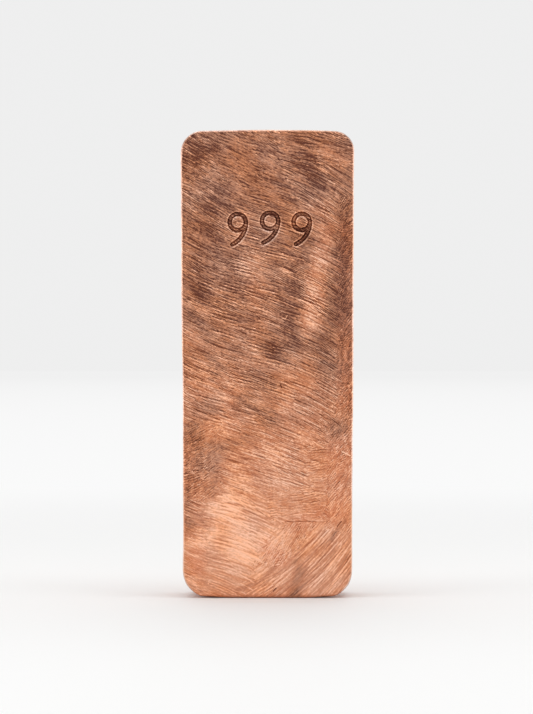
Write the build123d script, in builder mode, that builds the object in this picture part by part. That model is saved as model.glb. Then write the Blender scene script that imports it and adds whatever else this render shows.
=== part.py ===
"""A kilogram copper ingot: one casting, poured in an open mould and ground by hand.

The ingot stands on its squared foot. Its front is the poured face, ground flat and left
faintly crowned. Its walls draw in towards the back, which lay on the floor of the mould.
X runs across the ingot, Y from front to back and Z up. The origin is the middle of the foot.
"""

from build123d import *

import os
from math import radians, tan

# Driving dimensions in millimetres, taken at the poured face, the widest section
SHOULDER_WIDTH = 45.0
FOOT_WIDTH = 43.8
HEIGHT = 120.5
THICKNESS = 21.6
DRAFT_ANGLE = 2.0

# Corners of the mould, and the low crown of its top end
TOP_LEFT_RADIUS = 5.8
TOP_RIGHT_RADIUS = 5.3
FOOT_CORNER_RADIUS = 8.0
FLOOR_RADIUS = 2.6
TOP_CROWN = 0.5

# Grinding: the poured face drops away to its long edges, and every sharp edge is eased
FACE_CROWN = 0.35
FACE_EDGE_RADIUS = 0.9
FOOT_CORNER_EASE = 1.5

# How far the cutter that grinds the face reaches past the ingot on every side
CUTTER_MARGIN = 5.0

half_foot = FOOT_WIDTH / 2
half_shoulder = SHOULDER_WIDTH / 2
shoulder_height = HEIGHT - TOP_CROWN
front = -THICKNESS / 2

# The end wall of the mould leans by the draft too, so the foot is cast low and then squared
foot_stock = THICKNESS * tan(radians(DRAFT_ANGLE))

# The ground face is an arc across the ingot, carried on past both edges at the same radius
crown_radius = half_shoulder**2 / (2 * FACE_CROWN)
cutter_half_width = half_shoulder + CUTTER_MARGIN
cutter_drop = cutter_half_width**2 / (2 * crown_radius)

with BuildPart() as ingot:
    # The casting: the outline of the poured face, drawn in towards the floor of the mould
    with BuildSketch(Plane.XZ.offset(-front)) as outline:
        with BuildLine():
            foot = Line((half_foot, -foot_stock), (-half_foot, -foot_stock))
            left_side = Line(foot @ 1, (-half_shoulder, shoulder_height))
            top_end = ThreePointArc(left_side @ 1, (0, HEIGHT), (half_shoulder, shoulder_height))
            Line(top_end @ 1, foot @ 0)
        make_face()
        fillet(outline.vertices().group_by(Axis.Y)[0], FOOT_CORNER_RADIUS)
        fillet(outline.vertices().sort_by(Axis.X)[0], TOP_LEFT_RADIUS)
        fillet(outline.vertices().sort_by(Axis.X)[-1], TOP_RIGHT_RADIUS)
    extrude(amount=-THICKNESS, taper=DRAFT_ANGLE)
    fillet(ingot.faces().sort_by(Axis.Y)[-1].edges(), FLOOR_RADIUS)

    # The foot is sawn and ground square to the faces, so that the ingot stands on it
    split(bisect_by=Plane.XY, keep=Keep.TOP)
    foot_rim = ingot.faces().sort_by(Axis.Z)[0].edges().sort_by(Axis.X)
    fillet([foot_rim[0], foot_rim[-1]], FOOT_CORNER_EASE)

    # The poured face is ground with a disc, which leaves it crowned from side to side
    with BuildSketch(Plane.XY.offset(-CUTTER_MARGIN)) as grinding:
        with BuildLine():
            left_end = (-cutter_half_width, front + cutter_drop)
            right_end = (cutter_half_width, front + cutter_drop)
            crown = ThreePointArc(left_end, (0, front), right_end)
            Polyline(
                crown @ 1,
                (cutter_half_width, front - CUTTER_MARGIN),
                (-cutter_half_width, front - CUTTER_MARGIN),
                crown @ 0,
            )
        make_face()
    extrude(amount=HEIGHT + 2 * CUTTER_MARGIN, mode=Mode.SUBTRACT)
    fillet(ingot.faces().sort_by(Axis.Y)[0].edges(), FACE_EDGE_RADIUS)

ingot.part.label = "ingot"

os.makedirs("parts", exist_ok=True)
export_step(ingot.part, "parts/ingot.step")
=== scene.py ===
"""A copper ingot that stands on its squared foot on a wide white table."""

import math

import bpy
import numpy as np
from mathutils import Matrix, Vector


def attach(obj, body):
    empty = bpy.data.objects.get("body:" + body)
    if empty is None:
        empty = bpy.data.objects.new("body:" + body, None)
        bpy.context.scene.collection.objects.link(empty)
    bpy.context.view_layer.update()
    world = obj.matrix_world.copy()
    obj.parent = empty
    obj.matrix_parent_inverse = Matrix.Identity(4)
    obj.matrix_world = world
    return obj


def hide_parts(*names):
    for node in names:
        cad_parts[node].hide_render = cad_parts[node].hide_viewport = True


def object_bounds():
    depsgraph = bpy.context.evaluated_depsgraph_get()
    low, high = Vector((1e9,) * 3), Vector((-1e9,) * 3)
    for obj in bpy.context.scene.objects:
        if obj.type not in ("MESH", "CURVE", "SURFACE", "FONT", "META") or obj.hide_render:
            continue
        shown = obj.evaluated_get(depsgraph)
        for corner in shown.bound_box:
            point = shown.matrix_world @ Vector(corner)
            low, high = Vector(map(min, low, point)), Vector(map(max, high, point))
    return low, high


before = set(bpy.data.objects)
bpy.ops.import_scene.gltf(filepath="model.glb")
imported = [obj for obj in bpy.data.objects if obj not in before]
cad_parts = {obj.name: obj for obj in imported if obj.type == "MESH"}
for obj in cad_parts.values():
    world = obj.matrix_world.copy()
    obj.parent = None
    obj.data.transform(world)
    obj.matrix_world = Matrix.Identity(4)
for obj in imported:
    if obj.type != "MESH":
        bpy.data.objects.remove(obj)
cad_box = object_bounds()


# The casting
# The ingot is one piece of copper, poured in an open mould. Its walls draw in towards the
# back. The visible piece is a finer skin over the same solid, closest on the front, where
# the grinding marks are, and closer still where the number is punched.

MM = 0.001
SKIN_CELL = 0.9
FRONT_CUTS = 2
STAMP_CUTS = 1
RIM_DEPTH = 1.6
MERGE_DISTANCE = 0.001
SMOOTHING_ROUNDS = 4
STAMP_CENTRE = (0.6, 95.0)
STAMP_REACH = (13.0, 6.0)


def select_only(piece):
    """Leave one object selected and active, because every operator acts on the selection."""
    bpy.ops.object.select_all(action="DESELECT")
    piece.select_set(True)
    bpy.context.view_layer.objects.active = piece


def apply_modifier(piece, name, kind, **settings):
    """Add a modifier with its settings and apply it at once."""
    modifier = piece.modifiers.new(name, kind)
    for setting, value in settings.items():
        setattr(modifier, setting, value)
    select_only(piece)
    bpy.ops.object.modifier_apply(modifier=modifier.name)


def subdivide_where(piece, chosen, cuts):
    """Divide the faces whose centre, in millimetres, the function chooses."""
    select_only(piece)
    bpy.ops.object.mode_set(mode="EDIT")
    bpy.ops.mesh.select_all(action="DESELECT")
    bpy.ops.mesh.select_mode(type="FACE")
    bpy.ops.object.mode_set(mode="OBJECT")
    for face in piece.data.polygons:
        face.select = bool(chosen(face.center / MM))
    bpy.ops.object.mode_set(mode="EDIT")
    bpy.ops.mesh.subdivide(number_cuts=cuts)
    bpy.ops.object.mode_set(mode="OBJECT")


def on_front(at):
    """Whether a place in millimetres is on the front or on its eased edge."""
    return at.y < front_plane + RIM_DEPTH


def on_stamp(at):
    """Whether a place in millimetres is where the number is punched."""
    beside = abs(at.x - STAMP_CENTRE[0])
    above = abs(at.z - STAMP_CENTRE[1])
    return on_front(at) and beside < STAMP_REACH[0] and above < STAMP_REACH[1]


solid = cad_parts["ingot"]
front_plane = cad_box[0].y / MM
select_only(solid)
bpy.ops.object.duplicate()
ingot = bpy.context.view_layer.objects.active
ingot.name = "copper_ingot"
ingot.data.name = "copper_ingot"
ingot.parent = None

bpy.ops.object.mode_set(mode="EDIT")
bpy.ops.mesh.select_all(action="SELECT")
bpy.ops.mesh.remove_doubles(threshold=MERGE_DISTANCE * MM)
bpy.ops.object.mode_set(mode="OBJECT")
apply_modifier(ingot, "even skin", "REMESH", mode="VOXEL", voxel_size=SKIN_CELL * MM)
subdivide_where(ingot, on_front, FRONT_CUTS)
subdivide_where(ingot, on_stamp, STAMP_CUTS)
apply_modifier(ingot, "back to size", "SHRINKWRAP", target=solid, wrap_method="NEAREST_SURFACEPOINT")
apply_modifier(ingot, "ease facets", "SMOOTH", factor=0.5, iterations=SMOOTHING_ROUNDS)


# The grinding
# A coarse disc was drawn over the front in one pass after another, by hand. Each pass leaves
# a shallow trough, scored along its length, and wipes out what was there before. The passes
# are listed in the order in which they were made.

LATTICE = 32
DRIFT = 0.5
FURROW_ROWS = 2.2


def read_points(piece, source):
    """The places or the normals of a piece's vertices, one row each."""
    values = np.zeros(len(piece.data.vertices) * 3)
    getattr(piece.data, source).foreach_get("co" if source == "vertices" else "vector", values)
    return values.reshape(-1, 3)


def ramp(low, high, value):
    """0 below low, 1 above high, and a smooth rise between them. Low may be above high."""
    share = np.clip((value - low) / (high - low), 0, 1)
    return share * share * (3 - 2 * share)


def cloud(points, size, seed):
    """Smooth random values from -1 to 1, in lumps of the given size."""
    lattice = np.random.default_rng(seed).uniform(-1, 1, (LATTICE, LATTICE, LATTICE))
    spots = points / size
    cell = np.floor(spots).astype(int)
    share = spots - cell
    share = share * share * (3 - 2 * share)
    total = np.zeros(len(points))
    for corner in np.ndindex(2, 2, 2):
        weight = np.prod(np.where(corner, share, 1 - share), axis=1)
        index = (cell + corner) % LATTICE
        total += weight * lattice[index[:, 0], index[:, 1], index[:, 2]]
    return total


places = read_points(ingot, "vertices") / MM
normals = read_points(ingot, "vertex_normals")
across = places[:, 0]
up = places[:, 2]
towards_front = -normals[:, 1]
towards_foot = -normals[:, 2]
facing_front = ramp(0.55, 0.9, towards_front)
facing_back = ramp(0.6, 0.8, -towards_front)
on_wall = ramp(0.75, 0.55, np.abs(towards_front))

# What makes every border ragged: a wobble of up to about 2 mm, in lumps of 6 and of 2 mm
wobble = 1.6 * cloud(places, 6.0, 11) + 0.7 * cloud(places, 2.0, 12)


def store(piece, name, values):
    """Keep one number for each vertex, for the material to read."""
    layer = piece.data.attributes.new(name, "FLOAT", "POINT")
    layer.data.foreach_set("value", values.astype(np.float32))


def inside(left, right, low, high, soft=1.5):
    """1 inside a soft-edged, ragged box on the front, in millimetres, and 0 outside it."""
    ragged_across = across + wobble
    ragged_up = up + np.roll(wobble, 1)
    return (
        ramp(left - soft, left + soft, ragged_across)
        * ramp(right + soft, right - soft, ragged_across)
        * ramp(low - soft, low + soft, ragged_up)
        * ramp(high + soft, high - soft, ragged_up)
    )


def right_of(low_point, high_point, soft=1.5):
    """1 to the right of the line from the low point to the high point, and 0 to its left."""
    wide = high_point[0] - low_point[0]
    tall = high_point[1] - low_point[1]
    length = math.hypot(wide, tall)
    distance = ((across - low_point[0]) * tall - (up - low_point[1]) * wide) / length
    return ramp(-soft, soft, distance + wobble)


# Where the passes near the foot were made: the waist ends in a straight line 20 mm up
waist = np.maximum(inside(0, 16, 19.5, 28, 2), inside(9, 17, 26, 39, 2))
below_waist = ramp(20, 19, up)
toe = right_of((-7.0, 0.0), (2.0, 19.0), 4.5) * below_waist
instep = right_of((-3.4, 9.8), (4.4, 19.1), 3.0) * (1 - right_of((3.0, 7.0), (12.0, 19.0), 4.0))
instep *= ramp(6, 10, up + wobble) * below_waist

# A pass is the slope of its scores at the middle of the bar, how that slope changes to the
# right and towards both sides, the spacing and the length of the scores in millimetres, and
# where it was made, as a share from 0 to 1 at each vertex
passes = {
    "field": (-0.36, -0.005, -0.0006, 0.74, 9.0, np.ones(len(places))),
    "brow": (-0.42, 0.008, 0.0, 0.78, 8.0, right_of((8.0, 122.0), (-30.0, 62.0), 4.0)),
    "shoulder": (-0.28, -0.022, 0.0, 0.80, 9.0, inside(8.0, 30.0, 92.0, 130.0, 3.0)),
    "crown": (-0.15, -0.008, 0.0, 0.78, 7.0, inside(3.0, 30.0, 111.0, 130.0, 3.0)),
    "top_left": (-0.50, 0.004, 0.0, 0.78, 6.0, inside(-30.0, 2.0, 108.0, 130.0, 3.0)),
    "heel": (-0.52, -0.022, 0.0, 0.92, 13.0, inside(-16.0, 3.0, -5.0, 27.0, 2.0)),
    "heel_side": (-0.20, 0.01, 0.0, 0.80, 6.0, inside(-30.0, -15.0, -5.0, 21.0, 2.0)),
    "waist": (-0.04, 0.0, 0.0, 0.66, 4.0, waist),
    "toe": (0.72, 0.008, 0.001, 0.95, 15.0, toe),
    "instep": (1.15, 0.0, 0.0, 0.62, 3.0, instep),
    "toe_side": (1.10, 0.0, 0.0, 0.60, 3.5, inside(15.5, 30.0, 17.0, 46.0, 3.0)),
    "left_edge": (0.35, 0.0, 0.0, 0.66, 2.0, inside(-30.0, -12.0, 26.0, 44.0, 3.0)),
    "right_edge": (1.20, 0.0, 0.0, 0.60, 2.6, inside(18.5, 30.0, 40.0, 104.0, 2.6)),
}


def lay_out(x, z, drift, slope, bend, fan, spacing, length):
    """A place on the front as a number of score lengths along a pass and of scores across it."""
    steepness = 1 / math.hypot(1, slope)
    run = x * (1 / steepness / length)
    above = z - x * slope - x * x * (bend / 2) - x * x * x * (fan / 3) + drift
    rows = above * (steepness / spacing)
    return run, rows


# The walls are laid out by the way round the bar: up one side and on along the top
half_width = cad_box[1].x / MM
top_height = cad_box[1].z / MM
from_left = up + across + half_width
from_right = 2 * (top_height + half_width) - up - half_width + across
store(ingot, "around", np.where(across < 0, from_left, from_right))
store(ingot, "front", facing_front)
store(ingot, "wall", on_wall)
store(ingot, "back", facing_back)

# A hand doesn't hold a line, so the scores drift, and each pass leaves wider furrows too. The
# first pass covers the whole front, so only the later ones store where they were made.
drift = DRIFT * cloud(places, 17.0, 21)
furrows = np.zeros(len(places))
for index, (name, (slope, bend, fan, spacing, length, reach)) in enumerate(passes.items()):
    run, rows = lay_out(across, up, drift, slope, bend, fan, spacing, length)
    own_layer = np.full(len(run), index + 0.5)
    furrow = cloud(np.stack([run, rows / FURROW_ROWS, own_layer], axis=1), 1.0, 22)
    furrows = furrows * (1 - reach) + furrow * reach
    if index > 0:
        store(ingot, name, reach)
store(ingot, "drift", drift)


def distance_to(path):
    """How far each vertex is, across the front, from a path of points in millimetres."""
    nearest = np.full(len(places), 1e9)
    for start, end in zip(path[:-1], path[1:]):
        step = np.subtract(end, start)
        from_start = np.stack([across - start[0], up - start[1]], axis=1)
        along = np.clip(from_start @ step / (step @ step), 0, 1)
        gap = from_start - along[:, None] * step
        nearest = np.minimum(nearest, np.hypot(gap[:, 0], gap[:, 1]))
    return nearest


def near_path(path, reach):
    """1 on a path of points on the front, fading to 0 at the given reach from it."""
    return ramp(reach, 0, distance_to(path) + 0.35 * wobble + 1.1 * furrows)


def arc(centre, radius, first, last, steps):
    """Points along an arc, from one angle to another in degrees."""
    angles = np.radians(np.linspace(first, last, steps))
    return [(centre[0] + radius * math.cos(a), centre[1] + radius * math.sin(a)) for a in angles]


def turned(points, angle, centre):
    """Points turned about the origin by an angle in degrees, then moved to a centre."""
    cosine = math.cos(math.radians(angle))
    sine = math.sin(math.radians(angle))
    return [(centre[0] + cosine * x - sine * z, centre[1] + sine * x + cosine * z) for x, z in points]


# The number is punched one figure at a time, so the figures stand a little unevenly. The
# metal that a punch pushes aside stands round it as a lip, which handling rubs bright.
FIGURE_PITCH = 8.2
BOWL_RADIUS = 2.1
BOWL_HEIGHT = 1.7
TAIL_RADIUS = 6.2
PUNCH_HALF_WIDTH = 0.62
PUNCH_DEPTH = 0.55
LIP_HEIGHT = 0.10
LIP_SHINE = 0.5
# The lips below the strokes also get a painted highlight, as if lit from above: how far the lower
# copy of the figures is shifted, and how bright the highlight is painted
LOW_LIP_SHIFT = (0.08, -0.3)
LOW_LIP_HIGHLIGHT = 0.45
figure_turns = (2.0, -1.5, 1.0)
figure_drops = (0.15, -0.2, 0.1)

bowl = arc((0, BOWL_HEIGHT), BOWL_RADIUS, 0, 360, 25)
tail = arc((BOWL_RADIUS - TAIL_RADIUS, BOWL_HEIGHT), TAIL_RADIUS, 0, -66, 9)
from_figure = np.full(len(places), 1e9)
from_lower = np.full(len(places), 1e9)
for position, (turn, drop) in enumerate(zip(figure_turns, figure_drops)):
    centre = (STAMP_CENTRE[0] + (position - 1) * FIGURE_PITCH, STAMP_CENTRE[1] - drop)
    for stroke in (bowl, tail):
        from_figure = np.minimum(from_figure, distance_to(turned(stroke, turn, centre)))
        lower_centre = (centre[0] + LOW_LIP_SHIFT[0], centre[1] + LOW_LIP_SHIFT[1])
        from_lower = np.minimum(from_lower, distance_to(turned(stroke, turn, lower_centre)))
punched = ramp(1.0, 0.35, from_figure / PUNCH_HALF_WIDTH) * facing_front
lip = ramp(1.9, 1.1, from_figure / PUNCH_HALF_WIDTH) * facing_front * (punched == 0)
# Painted highlight on the lips below the strokes
low_lip_highlight = lip * ramp(0.0, 0.25, from_figure - from_lower)

# Casting and grinding leave low waves, which are cut into the solid and never stand out of it.
# The foot stays flat, except that its corners are ground a little high.
WAVE_DEPTH = 0.08
RIPPLE_DEPTH = 0.03
FURROW_DEPTH = 0.02
LEFT_EDGE_WEAR = 0.16
FOOT_RISE = 0.45

waves = WAVE_DEPTH * (1 + cloud(places, 13.0, 1)) + RIPPLE_DEPTH * (1 + cloud(places, 5.0, 2))
waves += FURROW_DEPTH * (1 + furrows) * facing_front
waves += LEFT_EDGE_WEAR * ramp(-20.0, -22.4, across) * ramp(8, 16, up) * ramp(68, 56, up)
removed = waves + PUNCH_DEPTH * punched - LIP_HEIGHT * lip
off_foot = ramp(0.6, 0.2, towards_foot)
places -= normals * (removed * off_foot)[:, None]
places[:, 2] += FOOT_RISE * ramp(9, 19, np.abs(across)) * ramp(5, 0, up)
places[:, 2] = np.maximum(places[:, 2], 0)
ingot.data.vertices.foreach_set("co", (places * MM).ravel())
ingot.data.update()
store(ingot, "punched", punched - LIP_SHINE * lip)

# The scores are shallow near the foot and deeper from the middle up
score_depth = 0.34 + 0.42 * ramp(10, 70, up) - 0.03 * ramp(85, 110, up)
score_depth += 0.12 * cloud(places, 11.0, 4)
score_depth += 0.20 * near_path([(-20, 44), (-18, 34), (-21, 18)], 5)
store(ingot, "depth", score_depth * (0.45 + 0.55 * facing_front))

# A painted highlight on the eased edge of the front, except close to the floor
rim_highlight = ramp(0.9, 0.6, towards_front) * ramp(0.05, 0.3, towards_front) * ramp(1, 3, up)
store(ingot, "painted_highlight", np.maximum(rim_highlight, LOW_LIP_HIGHLIGHT * low_lip_highlight))

# The front is darker towards the top, and darker or brighter in patches: the path of a patch, its
# reach in millimetres and its change.
PATCH_STRENGTH = 1.05
PATCH_SPREAD = 1.6

tarnish_and_shade = 0.22 + 0.42 * ramp(5, 100, up) + 0.04 * cloud(places, 9.0, 3)
tone_patches = [
    ([(-21, 112), (-18, 113)], 4.0, 0.20),
    ([(-18, 118), (-12, 116)], 4.0, 0.12),
    ([(11, 119), (9, 113), (11, 109)], 4.5, 0.18),
    ([(13, 104), (14, 99), (12, 94)], 3.5, 0.18),
    ([(10, 92), (9, 86)], 4.0, 0.13),
    ([(-14, 102), (-13, 96), (-16, 91), (-18, 86), (-17, 80)], 4.5, 0.20),
    ([(-9, 84), (-10, 77)], 4.0, 0.10),
    ([(18, 90), (17, 80), (18, 76)], 3.5, 0.18),
    ([(7, 79), (6, 73), (4, 68), (2, 63)], 4.2, 0.28),
    ([(16, 71), (15, 66)], 3.5, 0.18),
    ([(15, 62), (16, 59)], 3.0, 0.16),
    ([(-18, 79), (-16, 77)], 3.0, 0.14),
    ([(-20, 73), (-16, 68)], 3.0, 0.16),
    ([(-4, 56), (1, 54)], 2.5, 0.14),
    ([(-14, 60), (-13, 58)], 2.5, 0.10),
    ([(-5, 51), (0, 46)], 4.0, 0.16),
    ([(-9, 41), (-4, 40)], 2.5, 0.14),
    ([(-13, 52), (-14, 49)], 2.5, 0.12),
    ([(-18, 48), (-16, 47)], 2.5, 0.10),
    ([(10, 50), (11, 46)], 2.5, 0.10),
    ([(16, 45), (17, 43)], 3.0, 0.18),
    ([(-20, 42), (-18, 37), (-20, 31)], 4.0, 0.24),
    ([(-12, 39), (-14, 33), (-14, 28)], 3.5, 0.20),
    ([(-21, 26), (-21, 16)], 2.0, 0.22),
    ([(-18, 25), (-17, 18)], 4.0, 0.14),
    ([(8, 8), (7, 1)], 1.2, 0.30),
    ([(20, 100), (20, 70), (20, 42)], 2.0, 0.09),
    ([(12, 117), (18, 113)], 4.5, -0.16),
    ([(14, 100), (14, 88), (12, 80), (11, 72)], 4.5, -0.36),
    ([(-10, 96), (-5, 95)], 3.0, -0.12),
    ([(-4, 86), (-3, 79)], 4.0, -0.14),
    ([(-19, 69), (-18, 67)], 3.0, -0.14),
    ([(-12, 43), (-10, 42)], 3.5, -0.14),
    ([(-3, 38), (3, 36)], 3.5, -0.08),
    ([(-9, 32), (-7, 27)], 5.0, -0.10),
    ([(-12, 23), (-8, 18), (-6, 12)], 7.0, -0.16),
    ([(12, 47), (14, 45)], 3.0, -0.10),
    ([(-20, 15), (-15, 16)], 3.0, -0.18),
    ([(1, 17), (3, 15)], 3.0, -0.10),
]
for path, reach, change in tone_patches:
    tarnish_and_shade += PATCH_STRENGTH * change * near_path(path, reach + PATCH_SPREAD)

# A few scores of the pass on the toe are longer and darker than the rest
DEEP_SCORE_TARNISH = 0.20

deep_scores = [
    [(6.2, 0.6), (10.0, 3.9), (13.0, 6.5), (15.5, 9.0), (17.3, 12.3)],
    [(13.5, 1.6), (16.5, 5.0), (18.5, 8.0), (20.3, 11.0)],
    [(1.8, 5.6), (5.0, 7.7), (9.5, 11.5)],
    [(10.3, 9.2), (13.0, 12.0), (17.0, 16.7)],
    [(-7.7, 2.2), (-2.3, 4.1), (2.0, 8.0)],
    [(16.5, 15.0), (19.8, 20.0)],
]
for path in deep_scores:
    ragged = distance_to(path) + 0.25 * cloud(places, 1.6, 23)
    tarnish_and_shade += DEEP_SCORE_TARNISH * ramp(0.75, 0.15, ragged)

# Heat and air left some places orange: path, reach and strength
flushed = [
    ([(-18, 13), (-18, 8)], 4, 0.30),
    ([(0, 13), (3, 10)], 4, 0.45),
    ([(7, 18), (14, 22)], 4, 0.25),
    ([(19, 40), (18, 22)], 5, 0.25),
    ([(-20, 40), (-19, 24)], 4, 0.20),
    ([(20, 95), (20, 50)], 4, 0.35),
]
flush = np.zeros(len(places))
for path, reach, strength in flushed:
    flush += strength * near_path(path, reach)
store(ingot, "flush", flush * facing_front)

# Away from the front the tarnish is even, and painted shade darkens the front along the line where it
# meets the floor
EDGE_TARNISH = 0.12
CAST_TARNISH = 0.28
FOOT_SHADE = 0.6

tarnish_and_shade = tarnish_and_shade * facing_front + EDGE_TARNISH * (1 - facing_front)
tarnish_and_shade += CAST_TARNISH * np.maximum(on_wall, facing_back)
# Painted shade along the bottom edge of the front
painted_foot_shade = ramp(0.9, 0.3, up) * ramp(0.6, 0.9, towards_front) * ramp(0.05, 0.5, towards_foot)
store(ingot, "tarnish_and_shade", tarnish_and_shade + FOOT_SHADE * painted_foot_shade)

select_only(ingot)
bpy.ops.object.shade_smooth()


# The finish
# Bare copper, ground with a coarse disc and left to tarnish. The scores catch the light, and the
# tarnish stays in them, browner in some places than in others. The colour also holds painted
# highlights and painted shade.

BRIGHT = (0.86, 0.405, 0.230, 1)
FLUSHED = (0.80, 0.225, 0.095, 1)
BURNISHED = (1.0, 0.54, 0.34, 1)
# The colour of the painted highlights on the eased edge and on the lower lips of the figures
HIGHLIGHT_COLOUR = (1.0, 0.73, 0.58, 1)
LIGHT_TARNISH = (0.20, 0.061, 0.030, 1)
DARK_TARNISH = (0.145, 0.051, 0.033, 1)
YELLOWER = (1.0, 0.87, 0.75, 1)
PINKER = (1.0, 1.10, 1.25, 1)
BORDER_RAGGEDNESS = 1.3
SMOOTHEST = 0.28
TARNISH_ROUGHNESS = 0.15


class Wire:
    """A socket of a material. Arithmetic on it adds Math nodes, and node() adds any other."""

    def __init__(self, tree, socket=None):
        self.tree = tree
        self.socket = socket

    def node(self, kind, settings, inputs, output=0):
        """Add a node: its settings first, then the values or wires of its inputs."""
        made = self.tree.nodes.new(kind)
        for name, value in settings.items():
            setattr(made, name, value)
        for name, value in inputs.items():
            if isinstance(value, Wire):
                self.tree.links.new(value.socket, made.inputs[name])
            else:
                made.inputs[name].default_value = value
        return Wire(self.tree, made.outputs[output])

    def math(self, operation, *values, clamp=False):
        """Add a Math node on values or wires."""
        settings = {"operation": operation, "use_clamp": clamp}
        return self.node("ShaderNodeMath", settings, dict(enumerate(values)))

    def __add__(self, other):
        return self.math("ADD", self, other)

    def __radd__(self, other):
        return self.math("ADD", other, self)

    def __sub__(self, other):
        return self.math("SUBTRACT", self, other)

    def __rsub__(self, other):
        return self.math("SUBTRACT", other, self)

    def __mul__(self, other):
        return self.math("MULTIPLY", self, other)

    def __rmul__(self, other):
        return self.math("MULTIPLY", other, self)

    def __pow__(self, other):
        return self.math("POWER", self, other)

    def clamped(self):
        """The same value, held between 0 and 1."""
        return self.math("ADD", self, 0.0, clamp=True)

    def mixed(self, low, high):
        """A colour between two, with this wire as the share of the second."""
        return self.node("ShaderNodeMix", {"data_type": "RGBA"}, {0: self, 6: low, 7: high}, 2)


copper = bpy.data.materials.new("ground copper")
copper.use_nodes = True
tree = copper.node_tree
surface = tree.nodes["Principled BSDF"]
metal = Wire(tree)
object_place = metal.node("ShaderNodeTexCoord", {}, {}, "Object")


def vector(x, y, z=0.0):
    """A vector from three numbers or wires."""
    return metal.node("ShaderNodeCombineXYZ", {}, {0: x, 1: y, 2: z})


def parts_of(whole):
    """The three numbers of a vector or a colour."""
    return [metal.node("ShaderNodeSeparateXYZ", {}, {0: whole}, axis) for axis in ("X", "Y", "Z")]


def scaled(place, factor):
    """A vector times a number."""
    return metal.node("ShaderNodeVectorMath", {"operation": "SCALE"}, {0: place, "Scale": factor})


def noise(place, detail=0.0, roughness=0.5):
    """Smooth random values about a half, one lump to each unit of the place."""
    settings = {"noise_dimensions": "3D"}
    inputs = {"Vector": place, "Scale": 1.0, "Detail": detail, "Roughness": roughness}
    return metal.node("ShaderNodeTexNoise", settings, inputs)


def kept(name):
    """A number that the grinding stored on the vertices."""
    return metal.node("ShaderNodeAttribute", {"attribute_name": name}, {}, "Fac")


def rise(low, high, value):
    """0 below low, 1 above high, and a smooth rise between them."""
    inputs = {0: value, 1: low, 2: high}
    return metal.node("ShaderNodeMapRange", {"interpolation_type": "SMOOTHSTEP"}, inputs)


def replaced(older, newer, taken):
    """The newer layout where it has taken the older one's place, and the older elsewhere."""
    return metal.node("ShaderNodeMix", {"data_type": "VECTOR"}, {0: taken, 4: older, 5: newer}, 1)


millimetres = scaled(object_place, 1 / MM)
part_x, part_y, part_z = parts_of(millimetres)

# Each pass is laid out with the length of its scores along X and their spacing along Y, and
# Z tells the passes apart. A later pass wipes out an older one, up to a ragged border.
laid = None
for index, (name, (slope, bend, fan, spacing, length, reach)) in enumerate(passes.items()):
    run, rows = lay_out(part_x, part_z, kept("drift"), slope, bend, fan, spacing, length)
    own = vector(run, rows, float(index))
    if laid is None:
        laid = own
    else:
        reached = kept(name) + BORDER_RAGGEDNESS * (noise(laid) - 0.5)
        laid = replaced(laid, own, metal.math("GREATER_THAN", reached, 0.5))

# The walls and the back aren't ground, but the mould left faint lines in them
walls = vector(kept("around") * (1 / 5.0), part_y * (1 / 0.8) + kept("around") * 0.05, 30.0)
back = vector(part_z * (1 / 4.0) + part_x * 0.12, part_x * (1 / 0.8) - part_z * 0.25, 31.0)
for name, own in (("wall", walls), ("back", back)):
    laid = replaced(laid, own, metal.math("GREATER_THAN", kept(name), 0.5))
run, row_place, pass_number = parts_of(laid)
shaken = 0.5 * noise(vector(run * 3.0, row_place * 0.6, pass_number + 0.4), 1.0)


def scores(pitch, lean, spread, reach, low, high, seed):
    """Straight scores side by side, in short strokes that cross one another at a slight angle.

    The pitch is in spacings of the pass, and lean and spread are the strokes' mean angle and its
    range. The reach sets how often a score fades out, and low and high how much of it shows.
    """
    cell = vector(run * 1.3 + shaken, row_place * 0.24 + shaken, pass_number + seed)
    inputs = {"Vector": cell, "Scale": 1.0}
    stroke = metal.node("ShaderNodeTexVoronoi", {"voronoi_dimensions": "3D"}, inputs, "Color")
    turn, shift, force = parts_of(stroke)
    leaning = row_place + run * (lean - spread + 2 * spread * turn)
    place = leaning * (1 / pitch) + seed + 9.0 * shift
    row = place.math("FLOOR", place)
    own_row = {0: vector(row, pass_number)}
    luck = metal.node("ShaderNodeTexWhiteNoise", {"noise_dimensions": "2D"}, own_row)
    strength = rise(low, high, noise(vector(run * reach + 40.0 * luck, row * 3.7, pass_number), 1.0))
    profile = metal.math("SINE", (place - row) * (2 * math.pi))
    sharp = profile * (0.35 + 0.65 * metal.math("ABSOLUTE", profile))
    return strength * (0.4 + 0.9 * luck) * (0.5 + 1.0 * force) * sharp


bold = scores(1.7, 0.2, 0.3, 1.1, 0.50, 0.70, 1.3)
plain = scores(1.0, -0.8, 0.9, 2.0, 0.34, 0.58, 2.6)
light = scores(0.66, 1.2, 0.9, 2.4, 0.32, 0.60, 5.1)
hair = scores(0.47, -1.9, 1.2, 3.0, 0.36, 0.66, 7.7)
grit = noise(vector(run * 14.0, row_place * 2.6, pass_number), 1.0, 0.7) - 0.5
streaks = noise(vector(run * 0.9, row_place * 0.20, pass_number), 2.0, 0.6) - 0.5
smears = noise(vector(run * 1.7, row_place * 0.5, pass_number), 1.0) - 0.5

# Relief is a height in millimetres, and marks are how much brighter the scores are. Away from
# the front both give way to the speckled, mottled skin of a casting.
relief = 0.075 * bold + 0.06 * plain + 0.035 * light + 0.015 * hair + 0.03 * grit
speckle = noise(scaled(millimetres, 1.5), 1.0) - 0.5
marks = 0.50 * bold + 0.44 * plain + 0.36 * light + 0.24 * hair
marks = marks + 1.1 * grit + 1.1 * streaks + 1.0 * smears
cast = 1 - kept("front")
mottle = noise(scaled(millimetres, 0.45), 3.0, 0.6) - 0.5
marks = marks * (1 - 0.75 * cast) + (0.9 + 0.6 * cast) * speckle + 2.2 * cast * mottle
relief = relief * (1 - 0.6 * cast) + 0.20 * cast * speckle + 0.40 * cast * mottle


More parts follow.
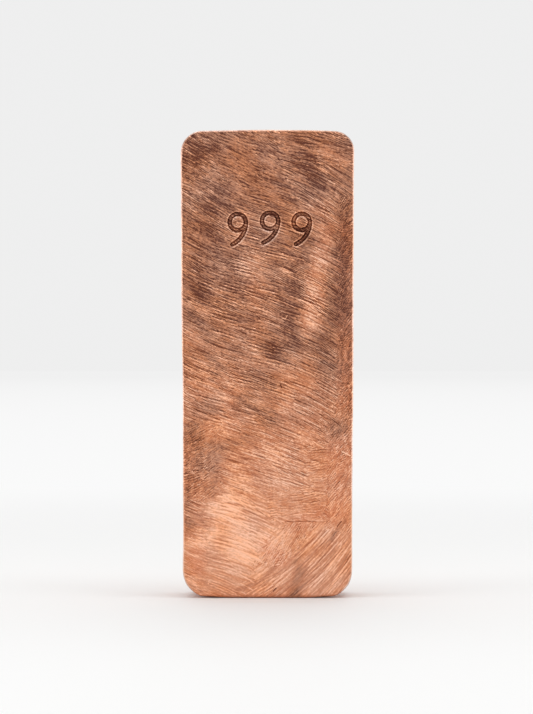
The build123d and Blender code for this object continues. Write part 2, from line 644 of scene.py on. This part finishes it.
def to_line(start_point, end_point):
    """How far a place on the front is from a straight nick, in millimetres."""
    wide = end_point[0] - start_point[0]
    tall = end_point[1] - start_point[1]
    from_x = part_x - start_point[0]
    from_z = part_z - start_point[1]
    along = ((from_x * wide + from_z * tall) * (1 / (wide * wide + tall * tall))).clamped()
    beside_x = from_x - along * wide
    beside_z = from_z - along * tall
    return (beside_x * beside_x + beside_z * beside_z) ** 0.5


# Knocks since the bar was ground, from one point to another, with their width and darkening:
# a nick is fresh, bright metal or a dark dent
NICK_DEPTH = 0.05

nicks = [
    ((19.1, 37.7), (21.1, 36.6), 0.22, -0.9),
    ((3.7, 71.9), (4.5, 71.7), 0.18, -0.8),
    ((4.5, 71.7), (5.1, 72.5), 0.18, -0.8),
    ((3.3, 54.9), (3.6, 54.1), 0.22, 0.9),
    ((2.2, 2.6), (1.5, 1.8), 0.20, 0.8),
    ((4.5, 19.6), (12.5, 19.8), 0.14, 0.5),
    ((18.9, 19.7), (17.9, 18.4), 0.22, 0.7),
    ((-6.0, 46.5), (-3.5, 45.8), 0.16, -0.6),
]
knocked = 0.0
for start_point, end_point, nick_width, darkening in nicks:
    touched = rise(nick_width, 0.3 * nick_width, to_line(start_point, end_point)) * kept("front")
    relief = relief - NICK_DEPTH * touched
    knocked = knocked + darkening * touched

bump = {"Strength": 1.0, "Distance": MM, "Height": kept("depth") * relief}
height = metal.node("ShaderNodeBump", {}, bump)

# The stain runs from 0, burnished, to 1, fully tarnished, and a light one is warmer in colour
sunk = kept("punched")
# The punched hollows are darker, partly tarnish kept in them and partly painted shade, most on their
# walls
stain_and_shade = kept("tarnish_and_shade") - marks * kept("depth") + 0.22 * sunk + 0.4 * sunk * (1 - sunk) + knocked
stain_and_shade = stain_and_shade.clamped()
tarnished = rise(0.35, 0.65, kept("tarnish_and_shade")).mixed(LIGHT_TARNISH, DARK_TARNISH)
warm = kept("flush") + 0.42 * rise(0.1, 0.6, stain_and_shade) * (1 - rise(0.30, 0.60, kept("tarnish_and_shade")))
bright = warm.clamped().mixed(BRIGHT, FLUSHED)
burnished_and_highlit = rise(0.30, 0.0, stain_and_shade).mixed(bright, BURNISHED)
# Painted highlights on the eased edge of the front and on the lower lips of the figures
burnished_and_highlit = kept("painted_highlight").mixed(burnished_and_highlit, HIGHLIGHT_COLOUR)
colour = stain_and_shade.mixed(burnished_and_highlit, tarnished)
blush = noise(scaled(millimetres, 1 / 9.0))
rosy = 0.6 * noise(vector(run * 2.2, row_place * 0.8, pass_number + 50.0), 3.0, 0.7) + 0.4 * blush
tint = rise(0.3, 0.7, rosy).mixed(YELLOWER, PINKER)
multiply = {"data_type": "RGBA", "blend_type": "MULTIPLY"}
colour = metal.node("ShaderNodeMix", multiply, {0: 1.0, 6: colour, 7: tint}, 2)
tree.links.new(colour.socket, surface.inputs["Base Color"])
tree.links.new(height.socket, surface.inputs["Normal"])
tree.links.new((SMOOTHEST + TARNISH_ROUGHNESS * stain_and_shade).socket, surface.inputs["Roughness"])
surface.inputs["Metallic"].default_value = 1
ingot.data.materials.clear()
ingot.data.materials.append(copper)

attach(ingot, "root")
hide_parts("ingot")


# The studio
# A wide white table in a pale room, and soft lamps. The table keeps the ingot's shadow, and
# further off it and the room are shown at the plain white of a backdrop.

PHOTO_HEIGHT = 714
PHOTO_CENTRE_X = 266.0
PHOTO_CENTRE_Y = 357.0
INGOT_CENTRE_X = 267.05
FOOT_Y = 598.2
MM_PER_PIXEL = 0.2567
CAMERA_DISTANCE = 750.0
FILM_HEIGHT = 24.0
TABLE_RADIUS = 12000.0
PAPER = (0.90, 0.90, 0.895, 1)
PAPER_ROUGHNESS = 0.7
BACKDROP = 0.86
ROOM_LEVEL = 0.74
FRONT_DIMMING = 0.40

# The table round the ingot, in metres: lit by the lamps as far as the first radius, plain
# backdrop from the second on, which fades a little from the third to the fourth
LIT_RADIUS = 0.2
PLAIN_RADIUS = 0.65
FADE_START = 0.5
FADE_END = 8.0
NEAR_GLOW = 0.955
FAR_GLOW = 0.875

bpy.ops.object.select_all(action="DESELECT")
bpy.ops.mesh.primitive_circle_add(vertices=128, radius=TABLE_RADIUS * MM, fill_type="NGON")
table = bpy.context.active_object
table.name = "table"
paper = bpy.data.materials.new("white table")
paper.use_nodes = True
matt = paper.node_tree.nodes["Principled BSDF"]
matt.inputs["Base Color"].default_value = PAPER
matt.inputs["Roughness"].default_value = PAPER_ROUGHNESS
top = Wire(paper.node_tree)
table_place = top.node("ShaderNodeTexCoord", {}, {}, "Object")
distance = top.node("ShaderNodeVectorMath", {"operation": "LENGTH"}, {0: table_place}, "Value")
outwards = {0: distance, 1: LIT_RADIUS, 2: PLAIN_RADIUS}
far = top.node("ShaderNodeMapRange", {"interpolation_type": "SMOOTHSTEP"}, outwards)
fading = {0: distance, 1: FADE_START, 2: FADE_END, 3: NEAR_GLOW, 4: FAR_GLOW}
fade = top.node("ShaderNodeMapRange", {}, fading)
table_seen = top.node("ShaderNodeLightPath", {}, {}, "Is Camera Ray")
table_mirrored = top.node("ShaderNodeLightPath", {}, {}, "Is Glossy Ray")
glow = top.node("ShaderNodeEmission", {}, {"Strength": fade})
glowing = far * (table_seen + table_mirrored).clamped()
lit = Wire(paper.node_tree, matt.outputs[0])
table_look = top.node("ShaderNodeMixShader", {}, {0: glowing, 1: lit, 2: glow})
top.tree.links.new(table_look.socket, paper.node_tree.nodes["Material Output"].inputs["Surface"])
table.data.materials.append(paper)

world = bpy.data.worlds.new("room")
bpy.context.scene.world = world
world.use_nodes = True
room = Wire(world.node_tree)
background = world.node_tree.nodes["Background"]
direction = room.node("ShaderNodeTexCoord", {}, {}, "Generated")
backwards = room.node("ShaderNodeSeparateXYZ", {}, {0: direction}, "Y")
seen = room.node("ShaderNodeLightPath", {}, {}, "Is Camera Ray")
dim = room.node("ShaderNodeMapRange", {}, {0: backwards, 1: 0.1, 2: -0.7, 3: 0.0, 4: 1.0})
level = ROOM_LEVEL - FRONT_DIMMING * dim
mirrored = room.node("ShaderNodeLightPath", {}, {}, "Is Glossy Ray")
behind = room.node("ShaderNodeMapRange", {}, {0: backwards, 1: -0.2, 2: 0.3})
brightness = level + (seen + mirrored * behind).clamped() * (BACKDROP - level)
world.node_tree.links.new(brightness.socket, background.inputs["Strength"])
background.inputs["Color"].default_value = (1, 1, 1, 1)


def soft_lamp(name, place, turn, size, radiance):
    """A softbox at a place in millimetres, turned in degrees, with the given brightness."""
    light = bpy.data.lights.new(name, "AREA")
    light.shape = "RECTANGLE"
    light.size = size[0] * MM
    light.size_y = size[1] * MM
    light.energy = radiance * math.pi * light.size * light.size_y
    lamp = bpy.data.objects.new(name, light)
    bpy.context.collection.objects.link(lamp)
    lamp.location = [value * MM for value in place]
    lamp.rotation_euler = [math.radians(value) for value in turn]
    lamp.visible_camera = False


soft_lamp("top softbox", (0, -260, 950), (0, 0, 0), (1100, 500), 1.65)
soft_lamp("left softbox", (-1000, -500, 450), (90, 0, -63), (600, 700), 1.3)
soft_lamp("right softbox", (1000, -500, 450), (90, 0, 63), (600, 700), 1.15)
soft_lamp("front fill", (0, -1500, 450), (90, 0, 0), (1400, 1000), 0.80)
soft_lamp("left panel", (-900, 450, 200), (90, 0, -110), (1300, 400), 1.2)
soft_lamp("right panel", (900, 450, 200), (90, 0, 110), (1300, 400), 1.2)
soft_lamp("top panel", (0, 800, 950), (40, 0, 180), (800, 400), 1.5)

lens_data = bpy.data.cameras.new("camera")
lens_data.sensor_fit = "VERTICAL"
lens_data.sensor_height = FILM_HEIGHT
lens_data.lens = CAMERA_DISTANCE / MM_PER_PIXEL * FILM_HEIGHT / PHOTO_HEIGHT
camera = bpy.data.objects.new("camera", lens_data)
bpy.context.collection.objects.link(camera)
camera.location = (
    (PHOTO_CENTRE_X - INGOT_CENTRE_X) * MM_PER_PIXEL * MM,
    (front_plane - CAMERA_DISTANCE) * MM,
    (FOOT_Y - PHOTO_CENTRE_Y) * MM_PER_PIXEL * MM,
)
camera.rotation_euler = (math.radians(90), 0, 0)
bpy.context.scene.camera = camera
bpy.context.scene.view_settings.view_transform = "Standard"
